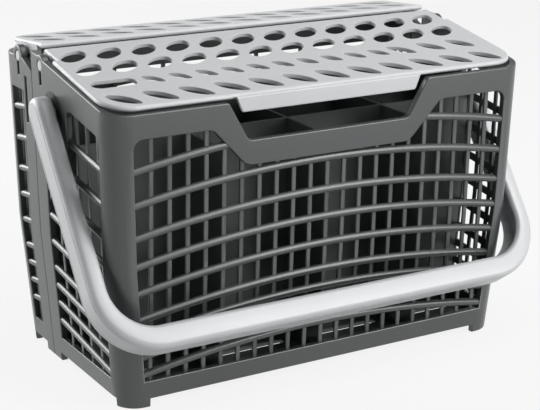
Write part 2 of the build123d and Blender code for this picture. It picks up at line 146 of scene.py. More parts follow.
# Lids
lid_thickness = 2.6
lid_slope = radians(9.76)
lid_front_edge = 79.6
lid_back_edge = 5.5
lid_half_width = 111.3
lid_corner = 14.0
lid_hinge_zone = 15.0
lid_end_clearance = 0.6
lid_skin = 2.0
bead_facets = 3
lid_columns = 12
column_pitch = 17.8
column_shift = -1.9
front_leaf_row = 9.4
small_leaf_row = 27.4
hole_rows = (45.1, 62.0)
oval_hole = (16.6, 10.0)
oval_angle = 39.0
large_leaf = (19.6, 7.0)
middle_leaf = (17.6, 6.6)
middle_leaves = 3
small_leaf = (13.0, 5.2)
small_leaves = 10
small_leaf_pitch = 13.5
small_leaf_start = 19.3
long_slot = (22.0, 8.4)
long_slot_start = 4.0
leaf_angle = -43.0
leaf_tip_share = 0.23
hole_edge = 0.3
tab_half_width = 50.0
tab_taper = 3.0
tab_thickness = 2.0
tab_drop = 5.6
tab_gap = 0.4
tab_edge = 0.7
tab_corner = 1.5
tab_top_share = 0.65
tab_bridge = (1.2, 0.4)
rear_lid_slope = radians(5.0)
rear_lid_overhang = 2.5
rear_lid_back = 36.0
rear_lid_rise = 8.7
rear_lid_end_clearance = 1.0
rear_lid_corner = 8.0
rear_lid_rows = (0.30, 0.70)
skirt = 2.0
skirt_setback = 0.6
lug_radius = 4.2
lug_length = 3.0
lug_corner = 4.116
rear_lug_set_in = 0.02
lid_pin_radius = 2.6
lid_pin_drop = 3.7
lid_pin_root = 1.0
lid_pin_chamfer = 0.4
pin_end_clearance = 0.1

# Bail handle
handle_half_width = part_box("handle")[1].x / MM
handle_lowering = radians(53.694)
handle_reach = 118.0
handle_breadth = 16.0
arm_depth = 8.2
grip_depth = 11.0
handle_skin = 2.4
elbow_radius = 30.0
handle_edge = 2.3
flange_bulge = 0.11
ridge_line = 5.2
ridge_groove = 0.35
ridge_half = 0.35
bail_steps = 18
handle_pin_radius = 3.5
handle_boss_radius = 4.6
boss_clearance = 0.4
handle_pin_stub = 2.0
handle_pin_chamfer = 0.5

# Derived sizes
lid_rise = tan(lid_slope)
front_flat = half_width - corner_radius
corner_length = corner_radius * pi / 2
uprights_outer = bar_recess + bar_depth
uprights_inner = uprights_outer + upright_depth

# Fineness of the meshes
arc_step = 9.0
weld = 1e-4
slice_tolerance = 1e-5
fill_tolerance = 1e-6
touch = 0.01
sharp_angle = radians(38)

# Moulded plastic
plastic_ior = 1.49
flow_scale = 28.0
flow_detail = 4.0
flow_tones = (0.94, 1.06)
worn_edges = (0.52, 0.62)
most_wear = 0.5
grain_scale = 1800.0
grain_detail = 2.0
grain_height = 0.00005
gloss_spread = 0.06

# Studio, in metres
floor_colour = (0.55, 0.55, 0.55, 1)
floor_roughness = 0.9
floor_glow = 0.86
floor_size = 30
floor_below = 0.0002
sky_colour = (0.95, 0.97, 1.0, 1)
sky_strength = 0.12
ceiling_heights = (0.2, 0.6)
ceiling_strengths = (1.0, 0.35)
lamp_target = (0, 0, 0.07)
camera_place = (-0.38291, -0.63258, 0.30115)
camera_azimuth = radians(-31.08)
camera_elevation = radians(17.4)
camera_roll = radians(0.65)
camera_lens = 104.23
camera_sensor = 36.0

scene = bpy.context.scene


def inset(insets, z):
    """How far a wall stands inside its top edge at height z."""
    foot, waist = insets
    if z < waist_height:
        return foot + (waist - foot) * z / waist_height
    return waist * (top_height - z) / (top_height - waist_height)


def levels(low, high):
    """Heights at which a wall changes direction between low and high."""
    return [low, waist_height, high] if low < waist_height < high else [low, high]


def half_at(z):
    """Half width of the basket's outside at height z."""
    return half_width - inset(side_insets, z)


class Half:
    """Walls of a half basket facing -y, unrolled to a strip: along the wall, height, depth into it."""

    def __init__(self, depth, insets):
        self.depth = depth
        self.insets = insets
        self.side_flat = depth - corner_radius

    def reach(self, z):
        return self.depth - inset(self.insets, z)

    def front(self, x, z):
        """Place on the strip of a point of the end wall."""
        return (x * front_flat / (half_at(z) - corner_radius), z)

    def side(self, y, z):
        """Place on the strip of a point of the +x side wall."""
        reach = self.reach(z) - corner_radius
        return (front_flat + corner_length + (y + reach) * self.side_flat / reach, z)

    def roll_up(self, along, z, depth):
        """Point in space of a place on the strip."""
        sign = -1 if along < 0 else 1
        along = abs(along)
        x = half_at(z) - corner_radius
        y = corner_radius - self.reach(z)
        if along <= front_flat:
            return Vector((sign * along * x / front_flat, y - corner_radius + depth, z))
        past = along - front_flat
        if past <= corner_length:
            turn = past / corner_radius
            radius = corner_radius - depth
            return Vector((sign * (x + radius * sin(turn)), y - radius * cos(turn), z))
        side_y = y - (past - corner_length) * y / self.side_flat
        return Vector((sign * (x + corner_radius - depth), side_y, z))

    def on_front(self, x, z, depth):
        return Vector((x, depth - self.reach(z), z))

    def on_side(self, y, z, depth):
        return Vector((half_at(z) - depth, y, z))


def arc(centre, radius, start, end):
    """Points of an arc between two angles in degrees."""
    count = max(2, round(abs(end - start) / arc_step))
    turns = [radians(start + (end - start) * k / count) for k in range(count + 1)]
    return [(centre[0] + radius * cos(t), centre[1] + radius * sin(t)) for t in turns]


def rounded(points, corners):
    """Closed outline with some corners, given as {index: radius}, rounded."""
    outline = []
    for i, point in enumerate(points):
        if i not in corners:
            outline.append(point)
            continue
        corner = Vector(point)
        before = (Vector(points[i - 1]) - corner).normalized()
        after = (Vector(points[(i + 1) % len(points)]) - corner).normalized()
        half = before.angle(after) / 2
        centre = corner + (before + after).normalized() * (corners[i] / sin(half))
        start = corner + before * (corners[i] / tan(half)) - centre
        count = max(2, round((180 - degrees(2 * half)) / arc_step))
        sign = 1 if before.cross(after) < 0 else -1
        for k in range(count + 1):
            outline.append(tuple(centre + Matrix.Rotation(sign * (pi - 2 * half) * k / count, 2) @ start))
    return [p for i, p in enumerate(outline) if dist(p, outline[i - 1]) > weld]


def symmetric(right, corners={}):
    """Closed outline from the points of its right half, with corners to round."""
    points = right + [(-x, z) for x, z in reversed(right)]
    pairs = {len(points) - 1 - i: radius for i, radius in corners.items()}
    return rounded(points, {**corners, **pairs})


def mirror_outline(outline):
    return [(-x, z) for x, z in outline]


def shifted(outline, x, y, turn=0.0):
    c, s = cos(radians(turn)), sin(radians(turn))
    return [(x + u * c - v * s, y + u * s + v * c) for u, v in outline]


def set_back(outline, inwards):
    """Directions in which the points of an outline move when it is drawn in, or out."""
    area = sum(a[0] * b[1] - b[0] * a[1] for a, b in zip(outline, outline[1:] + outline[:1]))
    sign = 1 if (area > 0) == inwards else -1
    points = [Vector(p) for p in outline]
    sides = [(b - a).normalized().orthogonal() for a, b in zip(points, points[1:] + points[:1])]
    return [sign * (a + b) / (1 + a.dot(b)) for a, b in zip(sides[-1:] + sides[:-1], sides)]


def plate(outlines, thickness, edge, facets=2):
    """Flat plate from z = 0 to its thickness, with rounded edges. Outlines after the first are holes."""
    bm = bmesh.new()
    turns = [pi / 2 * k / (facets + 1) for k in range(facets + 2)]
    lower = [(edge * (1 - sin(t)), edge * (1 - cos(t))) for t in turns]
    profile = lower + [(back, thickness - z) for back, z in reversed(lower)]
    bottoms, tops = [], []
    for outline in outlines:
        moves = set_back(outline, outline is outlines[0])
        rings = [[bm.verts.new((x + m.x * back, y + m.y * back, z)) for (x, y), m in zip(outline, moves)]
                 for back, z in profile]
        for a, b in zip(rings, rings[1:]):
            for i in range(len(a)):
                bm.faces.new((a[i - 1], a[i], b[i], b[i - 1]))
        bottoms.append(rings[0])
        tops.append(rings[-1])
    for loops in (bottoms, tops):
        verts = [v for loop in loops for v in loop]
        place = {v: i for i, v in enumerate(verts)}
        faces = [[place[v] for v in loop] for loop in loops]
        filled = delaunay_2d_cdt([v.co.xy for v in verts], [], faces, 2, fill_tolerance)
        for face in filled[2]:
            bm.faces.new([verts[filled[3][i][0]] for i in face])
    bmesh.ops.recalc_face_normals(bm, faces=bm.faces)
    return bm


def slice_at(bm, axis, places):
    """Adds edges across a mesh where it will bend."""
    normal = Vector((0, 0, 0))
    normal[axis] = 1
    for place in places:
        geometry = bm.verts[:] + bm.edges[:] + bm.faces[:]
        bmesh.ops.bisect_plane(bm, geom=geometry, dist=slice_tolerance, plane_co=normal * place,
                               plane_no=normal)


def bend(bm, place):
    """Moves every vertex to where a function of its three coordinates says."""
    for vert in bm.verts:
        vert.co = place(*vert.co)
    bmesh.ops.recalc_face_normals(bm, faces=bm.faces)
    return bm


def loft(*rings):
    """Closed solid through rings of points."""
    bm = bmesh.new()
    rows = [[bm.verts.new(p) for p in ring] for ring in rings]
    for a, b in zip(rows, rows[1:]):
        for i in range(len(a)):
            j = (i + 1) % len(a)
            bm.faces.new((a[i], a[j], b[j], b[i]))
    bm.faces.new(rows[0])
    bm.faces.new(rows[-1])
    bmesh.ops.recalc_face_normals(bm, faces=bm.faces)
    return bm


def box(x0, x1, y0, y1, z0, z1):
    ring = [(x0, y0), (x1, y0), (x1, y1), (x0, y1)]
    return loft(*[[(x, y, z) for x, y in ring] for z in (z0, z1)])


def x_rod(profile, y, z):
    """Round rod along x from (x, radius) pairs."""
    ring = arc((0, 0), 1, 0, 360 - arc_step)
    return loft(*[[(x, y + r * u, z + r * v) for u, v in ring] for x, r in profile])


def mirrored(bm, axis):
    """Copy of a mesh mirrored in x or y."""
    copy = bm.copy()
    for vert in copy.verts:
        vert.co[axis] = -vert.co[axis]
    bmesh.ops.recalc_face_normals(copy, faces=copy.faces)
    return copy


def both_sides(*meshes):
    return [m for bm in meshes for m in (bm, mirrored(bm, 0))]


def as_object(meshes):
    """One object from meshes that don't overlap."""
    mesh = bpy.data.meshes.new("piece")
    total = bmesh.new()
    for bm in meshes:
        bm.to_mesh(mesh)
        total.from_mesh(mesh)
        bm.free()
    total.to_mesh(mesh)
    total.free()
    obj = bpy.data.objects.new("piece", mesh)
    scene.collection.objects.link(obj)
    return obj


def combine(base, added=(), removed=()):
    """Unites groups of meshes with the base, takes others away, and returns one object."""
    target = as_object([base])
    tools = [("UNION", as_object(group)) for group in added]
    tools += [("DIFFERENCE", as_object(group)) for group in removed]
    for operation, tool in tools:
        modifier = target.modifiers.new("join", "BOOLEAN")
        modifier.solver = "MANIFOLD"
        modifier.operation = operation
        modifier.object = tool
    graph = bpy.context.evaluated_depsgraph_get()
    mesh = bpy.data.meshes.new_from_object(target.evaluated_get(graph))
    target.modifiers.clear()
    target.data = mesh
    for _, tool in tools:
        bpy.data.objects.remove(tool)
    return target


def settle(obj, name, body, node, material):
    """Names a finished piece, sets it into the frame and gives it its finish."""
    obj.name = name
    obj.data.name = name
    obj.data.transform(Matrix.Scale(MM, 4) @ Matrix.Translation((0, seam_y, 0)))
    obj.data.shade_smooth()
    obj.data.set_sharp_from_angle(angle=sharp_angle)
    weighted = obj.modifiers.new("even_shading", "WEIGHTED_NORMAL")
    weighted.keep_sharp = True
    obj.data.materials.clear()
    obj.data.materials.append(material)
    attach(obj, body)
    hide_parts(node)


def rim_at(y):
    """Height of the front basket's rim, on which the sloping lid lies."""
    return front_rim_height + lid_rise * (y + lid_front_edge)


def feet_line(half):
    """Lower edge of a wall on its strip, from the seam to the front, stepping down to the feet."""
    corner = corner_foot - half.depth
    front = half_width - side_insets[0] - corner_foot
    return [half.side(0, 0), half.side(-seam_foot, 0), half.side(-seam_foot, foot_height),
            half.side(corner, foot_height), half.side(corner, 0), half.front(front, 0),
            half.front(front, foot_height)]


def ear_line(half, y, rim):
    """Top of the round ear that carries a lid pin, where it stands above the rim."""
    points = arc((y, lid_pin_z), ear_radius, 180, 0)
    return [half.side(u, z) for u, z in points if z > rim(u)]


def keyhole(half, y):
    """Bore of a lid pin with the snap slot below it."""
    radius = lid_pin_radius + bore_clearance
    side = flex_slot_width / 2
    gap = degrees(asin(side / radius))
    round_part = arc((y, lid_pin_z), radius, gap - 90, 270 - gap)
    low = lid_pin_z - snap_slot
    return [half.side(u, z) for u, z in round_part + [(y - side, low), (y + side, low)]]


def window_half(z):
    return half_at(z) - post_width


def post_line(half, top):
    """Edge of an end wall's window along its corner post, from the rail up."""
    return [half.front(window_half(z), z) for z in levels(rail_top, top)]


def corner_slices():
    places = [front_flat + corner_length * k / corner_steps for k in range(corner_steps + 1)]
    return [-p for p in places] + places


def rolled_wall(half, outlines):
    """Wall of a half basket, drawn flat with its windows and rolled up round the corners."""
    bm = plate(outlines, wall, edge_round)
    slice_at(bm, 0, corner_slices())
    slice_at(bm, 1, [waist_height])
    return bend(bm, half.roll_up)


def front_wall(half):
    rim_front = rim_at(-half.reach(front_rim_height))
    lip = front_rim_height - notch_depth
    turns = [pi / 2 * k / rim_corner_steps for k in range(rim_corner_steps + 1)]
    centre = corner_radius - half.reach(front_rim_height)
    corner = [(front_flat + corner_radius * t, rim_at(centre - corner_radius * cos(t))) for t in turns]
    outside = [half.front(notch_lip_half, lip), half.front(notch_top_half, rim_front)] + corner
    outside += ear_line(half, front_pin_y, rim_at)
    outside += [half.side(0, rim_at(0))] + feet_line(half)

    window_top = front_rim_height - rim_band
    band_low = front_rim_height - band_drop
    posts = post_line(half, window_top)
    window = posts + [half.front(band_wide, window_top), half.front(band_half, band_low)]
    tops = {len(posts) - 1: window_fillet, len(posts): window_fillet, len(posts) + 1: band_fillet}

    corner_y = post_width - half.depth
    slot_y = -post_width - flex_slot_width
    side_top = window_top + lid_rise * (-plate_width - corner_y)
    side = [(corner_y, window_top), (-plate_width, side_top), (-plate_width, plate_foot),
            (slot_y, plate_seam_foot), (slot_y, front_slot_top), (-post_width, front_slot_top),
            (-post_width, rail_top), (corner_y + half.insets[0], rail_top),
            (corner_y + half.insets[1], waist_height)]
    side = [half.side(y, z) for y, z in rounded(side, {0: window_fillet, 1: window_fillet})]
    pivot = arc((handle_pin.y, handle_pin.z), handle_pin_radius + bore_clearance, 0, 360 - arc_step)
    holes = [side, keyhole(half, front_pin_y), [half.side(y, z) for y, z in pivot]]
    outlines = [symmetric(outside, {0: notch_fillet, 1: notch_crest}), symmetric(window, tops)]
    return rolled_wall(half, outlines + holes + [mirror_outline(h) for h in holes])


def rear_wall(half):
    def rim(y):
        return rear_rim_height

    outside = ear_line(half, -rear_pin_y, rim) + [half.side(0, rear_rim_height)] + feet_line(half)
    window_top = rear_rim_height - rim_band
    posts = post_line(half, window_top)
    corner_y = post_width - half.depth
    side = [(corner_y, window_top), (-post_width, window_top), (-post_width, rail_top),
            (corner_y + half.insets[0], rail_top), (corner_y + half.insets[1], waist_height)]
    slot_far = -rear_slot_near - flex_slot_width
    slot = [(y, z) for z in rear_slot for y in (slot_far, -rear_slot_near)]
    slot = [slot[0], slot[1], slot[3], slot[2]]
    holes = [[half.side(y, z) for y, z in line] for line in (side, slot)] + [keyhole(half, -rear_pin_y)]
    outlines = [symmetric(outside), symmetric(posts, {len(posts) - 1: window_fillet})]
    return rolled_wall(half, outlines + holes + [mirror_outline(h) for h in holes])


def bar_section():
    """Half-round section of a bar as (height, depth into the wall)."""
    turns = [radians(90 - 180 * k / bar_facets) for k in range(bar_facets + 1)]
    rounds = [(bar_height / 2 * sin(t), uprights_outer - bar_depth * cos(t)) for t in turns]
    back = uprights_outer + bar_back
    return [(bar_height / 2, back)] + rounds + [(-bar_height / 2, back)]


def arch_at(x):
    return arch_radius - sqrt(arch_radius ** 2 - x ** 2)


def arch_bar(half, height, start=None):
    """Arched bar across an end wall, or its right end from start on."""
    end = window_half(height - arch_at(half_width)) + bar_bite
    start = -end if start is None else start
    xs = [start + (end - start) * k / bar_steps for k in range(bar_steps + 1)]
    section = bar_section()
    return loft(*[[half.on_front(x, height - arch_at(x) + rise, d) for rise, d in section] for x in xs])


def side_bar(half, corner_height):
    """Bar along the +x side wall, climbing towards the seam."""
    near = bar_bite - post_width
    far = -(half.reach(corner_height) - post_width + bar_bite)
    section = bar_section()
    ys = [far + (near - far) * k / side_bar_steps for k in range(side_bar_steps + 1)]
    heights = [corner_height + side_bar_slope * (y - far) for y in ys]
    return loft(*[[half.on_side(y, h + rise, d) for rise, d in section] for y, h in zip(ys, heights)])


def upright_section():
    """Flat section of an upright as (across, depth into the wall), with its outer edges broken."""
    side = upright_width / 2
    front = uprights_outer
    return [(-side, uprights_inner), (-side, front + upright_edge), (upright_edge - side, front),
            (side - upright_edge, front), (side, front + upright_edge), (side, uprights_inner)]


def front_upright(half, x, top):
    zs = levels(rail_top - bar_bite, top)
    return loft(*[[half.on_front(x + u, z, d) for u, d in upright_section()] for z in zs])


def side_upright(half, y, top):
    zs = levels(rail_top - bar_bite, top)
    return loft(*[[half.on_side(y + u, z, d) for u, d in upright_section()] for z in zs])


def cross_wall(half, x):
    """Partition from the seam wall to the end wall's uprights."""
    side = partition / 2
    depth = (uprights_outer + uprights_inner) / 2
    zs = levels(foot_height + floor_thickness / 2, partition_top)
    return loft(*[[(x - side, depth - half.reach(z), z), (x + side, depth - half.reach(z), z),
                   (x + side, -seam_wall / 2, z), (x - side, -seam_wall / 2, z)] for z in zs])


def long_wall(y):
    """Partition from side wall to side wall."""
    depth = (uprights_outer + uprights_inner) / 2
    zs = levels(foot_height + floor_thickness / 2, partition_top)
    front, back = y - partition / 2, y + partition / 2
    ring = ((-1, front), (1, front), (1, back), (-1, back))
    return loft(*[[(sign * (half_at(z) - depth), v, z) for sign, v in ring] for z in zs])


def seam_panel():
    """Wall of a half basket along the seam."""
    rings = []
    for z in levels(foot_height + floor_thickness / 2, seam_wall_top):
        w = half_at(z) - wall / 2
        rings.append([(-w, -seam_wall, z), (w, -seam_wall, z), (w, -seam_gap, z), (-w, -seam_gap, z)])
    return loft(*rings)


def floor_panel(half, rows):
    """Floor with drain slots in every compartment."""
    w = half_at(foot_height) - wall / 2
    d = half.reach(foot_height) - wall / 2
    outline = rounded([(w, -seam_gap), (w, -d), (-w, -d), (-w, -seam_gap)],
                      {1: corner_radius - wall / 2, 2: corner_radius - wall / 2})
    edge = half_width - side_insets[0] - wall
    xs = [-edge, -cell_step, 0, cell_step, edge]
    slots = []
    for x0, x1 in zip(xs[:-1], xs[1:]):
        for y0, y1 in rows:
            count = int((y1 - y0 - floor_slot_width) / floor_slot_pitch)
            for i in range(count):
                y = (y0 + y1) / 2 + (i - (count - 1) / 2) * floor_slot_pitch
                low, high = y - floor_slot_width / 2, y + floor_slot_width / 2
                left, right = x0 + floor_slot_margin, x1 - floor_slot_margin
                corners = [(left, low), (right, low), (right, high), (left, high)]
                slots.append(rounded(corners, {k: floor_slot_corner for k in range(len(corners))}))
    bm = plate([outline] + slots, floor_thickness, floor_edge, facets=1)
    bmesh.ops.translate(bm, verts=bm.verts, vec=(0, 0, foot_height))
    bmesh.ops.recalc_face_normals(bm, faces=bm.faces)
    return bm


def front_basket():
    half = Half(front_depth, front_insets)
    window_top = front_rim_height - rim_band
    band_low = front_rim_height - band_drop

    def upright_top(x):
        if abs(x) > band_wide:
            return window_top + bar_bite
        climb = max(0, abs(x) - band_half) * (window_top - band_low) / (band_wide - band_half)
        return band_low + climb + band_bite

    xs = [i * upright_pitch for i in range(-uprights_each_way, uprights_each_way + 1)]
    ys = [-first_side_upright - i * side_upright_pitch for i in range(side_uprights)]
    middle = ys[side_uprights // 2]
    corner_drop = arch_at(half_width - post_width)
    side_top = window_top + lid_rise * (half.depth - post_width - plate_width)
    bars = both_sides(arch_bar(half, arch_levels[0], band_half + window_fillet))
    bars += [arch_bar(half, h) for h in arch_levels[1:]]
    side_bars = both_sides(*[side_bar(half, h - corner_drop) for h in arch_levels])
    uprights = [front_upright(half, x, upright_top(x)) for x in xs]
    tops = [plate_foot if y > -plate_width else side_top for y in ys]
    uprights += both_sides(*[side_upright(half, y, top) for y, top in zip(ys, tops)])
    partitions = [cross_wall(half, x) for x in (-cell_step, 0, cell_step)]
    rows = [(front_insets[0] + wall - front_depth, middle), (middle, -seam_wall)]
    face = half_at(handle_pin.z)
    recess = x_rod([(face - pivot_recess, pivot_recess_radius), (half_width + wall, pivot_recess_radius)],
                   handle_pin.y, handle_pin.z)
    added = [bars, side_bars, uprights, partitions]
    added += [[long_wall(middle)], [seam_panel()], [floor_panel(half, rows)]]
    return combine(front_wall(half), added, [both_sides(recess)])


def rear_basket():
    half = Half(rear_depth, rear_insets)
    window_top = rear_rim_height - rim_band
    count = uprights_each_way // rear_upright_step
    xs = [rear_upright_step * i * upright_pitch for i in range(-count, count + 1)]
    middle = (rear_insets[1] - rear_depth) / 2
    corner_drop = arch_at(half_width - post_width) - rear_side_bar_rise
    heights = [h + rear_bar_rise for h in arch_levels]
    bars = [arch_bar(half, h) for h in heights]
    side_bars = both_sides(*[side_bar(half, h - corner_drop) for h in heights])
    uprights = [front_upright(half, x, window_top + bar_bite) for x in xs]
    uprights += both_sides(side_upright(half, middle, window_top + bar_bite))
    partitions = [cross_wall(half, x) for x in (-cell_step, 0, cell_step)]
    rows = [(rear_insets[0] + wall - rear_depth, -seam_wall)]
    added = [bars, side_bars, uprights, partitions, [seam_panel()], [floor_panel(half, rows)]]
    obj = combine(rear_wall(half), added)
    obj.data.transform(Matrix.Scale(-1, 4, (0, 1, 0)))
    obj.data.flip_normals()
    return obj


def leaf(length, width):
    """Slot between two arcs that meet in small rounded tips."""
    rise = width / 2
    radius = (length ** 2 / 4 + rise ** 2) / (2 * rise)
    below = radius - rise
    nose = leaf_tip_share * width
    tip = sqrt((radius - nose) ** 2 - below ** 2)
    turn = degrees(atan2(below, tip))
    upper = arc((0, -below), radius, turn, 180 - turn) + arc((-tip, 0), nose, 180 - turn, 180 + turn)[1:-1]
    return upper + [(-x, -y) for x, y in upper]


def ellipse(length, width):
    return [(length / 2 * x, width / 2 * y) for x, y in arc((0, 0), 1, 0, 360 - arc_step)]


def lid_column_places():
    return [(i - (lid_columns - 1) / 2) * column_pitch + column_shift for i in range(lid_columns)]


def stadium(half_length, radius):
    return arc((half_length, 0), radius, -90, 90) + arc((-half_length, 0), radius, 90, 270)


def rolled_edge(outline, radius):
    """Round bead along the edge of a plate."""
    curve = bpy.data.curves.new("bead", "CURVE")
    curve.dimensions = "3D"
    curve.bevel_depth = radius
    curve.bevel_resolution = bead_facets
    spline = curve.splines.new("POLY")
    spline.points.add(len(outline) - 1)
    for point, (x, y) in zip(spline.points, outline):
        point.co = (x, y, radius, 1)
    spline.use_cyclic_u = True
    holder = bpy.data.objects.new("bead", curve)
    mesh = bpy.data.meshes.new_from_object(holder)
    bm = bmesh.new()
    bm.from_mesh(mesh)
    bpy.data.meshes.remove(mesh)
    bpy.data.objects.remove(holder)
    bpy.data.curves.remove(curve)
    bmesh.ops.remove_doubles(bm, verts=bm.verts, dist=weld)
    bmesh.ops.recalc_face_normals(bm, faces=bm.faces)
    return bm


def lid_pins(y, plate_z, inner):
    """Lugs under both ends of a lid, and the pins that stand out of them."""
    root = inner - lug_length
    end = half_at(lid_pin_z) - pin_end_clearance
    low = lid_pin_z - lug_radius
    corners = [(y - lug_radius, low), (y + lug_radius, low),
               (y + lug_radius, plate_z), (y - lug_radius, plate_z)]
    outline = rounded(corners, {0: lug_corner, 1: lug_corner})
    lug = loft(*[[(x, u, z) for u, z in outline] for x in (root, inner)])
    profile = [(root + lid_pin_root, lid_pin_radius), (end - lid_pin_chamfer, lid_pin_radius),
               (end, lid_pin_radius - lid_pin_chamfer)]
    pin = x_rod(profile, y, lid_pin_z)
    return both_sides(lug), both_sides(pin)


def front_lid():
    """Sloping plate with oval holes behind, leaf slots in front and a finger tab in the notch."""
    length = (lid_front_edge - lid_back_edge) / cos(lid_slope)
    bead = lid_thickness / 2

    def place(x, t, h):
        return Vector((x, t * cos(lid_slope) - h * sin(lid_slope) - lid_front_edge,
                       front_rim_height + t * sin(lid_slope) + h * cos(lid_slope)))

    inner = half_width - wall - lid_end_clearance
    shoulder = length - lid_hinge_zone
    right = [(lid_half_width - bead, bead), (lid_half_width - bead, shoulder - bead),
             (inner - bead, shoulder - bead), (inner - bead, length - bead)]
    outline = symmetric(right, {0: lid_corner - bead})
    inside_bead = symmetric(right, {0: lid_corner - 2 * bead})
    columns = lid_column_places()
    oval = ellipse(*oval_hole)
    holes = [shifted(oval, x, row, oval_angle) for x in columns for row in hole_rows]
    holes += [shifted(leaf(*large_leaf), x, front_leaf_row, leaf_angle) for x in columns]
    slot_x = columns[0] + long_slot_start
    small_xs = [slot_x + small_leaf_start + i * small_leaf_pitch for i in range(small_leaves + 1)]
    holes += [shifted(leaf(*small_leaf), x, small_leaf_row, leaf_angle) for x in small_xs[:-1]]
    holes += [shifted(leaf(*middle_leaf), small_xs[-1] + i * column_pitch, small_leaf_row, leaf_angle)
              for i in range(middle_leaves)]
    slot_length, slot_width = long_slot
    holes.append(shifted(stadium((slot_length - slot_width) / 2, slot_width / 2), slot_x, small_leaf_row))
    sheet = plate([inside_bead] + holes, lid_skin, hole_edge)
    base = bend(sheet, lambda x, t, h: place(x, t, h + lid_thickness - lid_skin))
    edge = bend(rolled_edge(outline, bead), place)

    tab_top = front_rim_height + tab_top_share * lid_thickness
    tab_low = front_rim_height - tab_drop
    tab_back = -lid_front_edge - tab_gap
    face = symmetric([(tab_half_width, tab_top), (tab_half_width - tab_taper, tab_low)], {1: tab_corner})
    flat_tab = plate([face], tab_thickness, tab_edge, facets=3)
    tab = bend(flat_tab, lambda x, z, d: Vector((x, tab_back - tab_thickness + d, z)))
    root = tab_half_width - tab_taper
    bridge = box(-root, root, tab_back - tab_thickness / 2, lid_thickness - lid_front_edge,
                 tab_top - tab_bridge[0], tab_top - tab_bridge[1])
    plate_z = lid_pin_z + lid_pin_drop + lid_thickness / 2
    lugs, rods = lid_pins(front_pin_y, plate_z, inner)
    return combine(base, [[edge], [tab], [bridge], lugs, rods])


def rear_lid():
    """Raised plate with leaf slots, standing on a skirt at the back and hung on lugs at its ends."""
    length = (rear_lid_back + rear_lid_overhang) / cos(rear_lid_slope)
    bottom = lid_pin_z + rear_lid_rise - lid_thickness
    bead = lid_thickness / 2

    def place(x, t, h):
        return Vector((x, t * cos(rear_lid_slope) + h * sin(rear_lid_slope) - rear_lid_overhang,
                       bottom - t * sin(rear_lid_slope) + h * cos(rear_lid_slope)))

    w = half_width - wall - rear_lid_end_clearance
    right = [(w - bead, bead), (w - bead, length - bead)]
    outline = symmetric(right, {1: rear_lid_corner - bead})
    inside_bead = symmetric(right, {1: rear_lid_corner - 2 * bead})
    columns = lid_column_places()
    holes = [shifted(leaf(*large_leaf), x, row * length, leaf_angle)
             for x in columns for row in rear_lid_rows]
    sheet = plate([inside_bead] + holes, lid_skin, hole_edge)
    base = bend(sheet, lambda x, t, h: place(x, t, h + lid_thickness - lid_skin))
    edge = bend(rolled_edge(outline, bead), place)

    def inside(y):
        return bottom + lid_thickness / 2 - tan(rear_lid_slope) * (y + rear_lid_overhang)

    back = rear_lid_back - skirt_setback
    half = w - rear_lid_corner
    end = back - rear_lid_corner
    rear_skirt = [(back - skirt, rear_rim_height), (back, rear_rim_height), (back, inside(back)),
                  (back - skirt, inside(back - skirt))]
    end_skirt = [(skirt, lid_pin_z), (end, lid_pin_z), (end, inside(end)), (skirt, inside(skirt))]
    rear_panel = loft(*[[(x, y, z) for y, z in rear_skirt] for x in (-half, half)])
    end_panel = loft(*[[(x, y, z) for y, z in end_skirt] for x in (w - skirt, w)])
    lugs, rods = lid_pins(rear_pin_y, inside(rear_pin_y), w - rear_lug_set_in)
    return combine(base, [[edge], [rear_panel], both_sides(end_panel), lugs, rods])


def bail_point(along, across, depth):
    """Point of the lowered handle from places along, across and into it, from the middle of the grip."""
    sign = -1 if along < 0 else 1
    along = abs(along)
    grip = handle_half_width - elbow_radius
    bow = elbow_radius * pi / 2
    turn = min(max((along - grip) / elbow_radius, 0), pi / 2)
    share = turn / (pi / 2)
    full = grip_depth + (arm_depth - grip_depth) * share
    if depth > handle_skin:
        depth = handle_skin + (depth - handle_skin) * (full - handle_skin) / (grip_depth - handle_skin)
    x = min(along, grip) + (elbow_radius - depth) * sin(turn)
    out = handle_reach - elbow_radius + (elbow_radius - depth) * cos(turn) - max(0, along - grip - bow)
    c, s = cos(handle_lowering), sin(handle_lowering)
    return Vector((sign * x, handle_pin.y - out * c - across * s, handle_pin.z - out * s + across * c))


def bail_slices():
    grip = handle_half_width - elbow_radius
    places = [grip + elbow_radius * pi / 2 * k / bail_steps for k in range(bail_steps + 1)]
    return [-p for p in places] + places


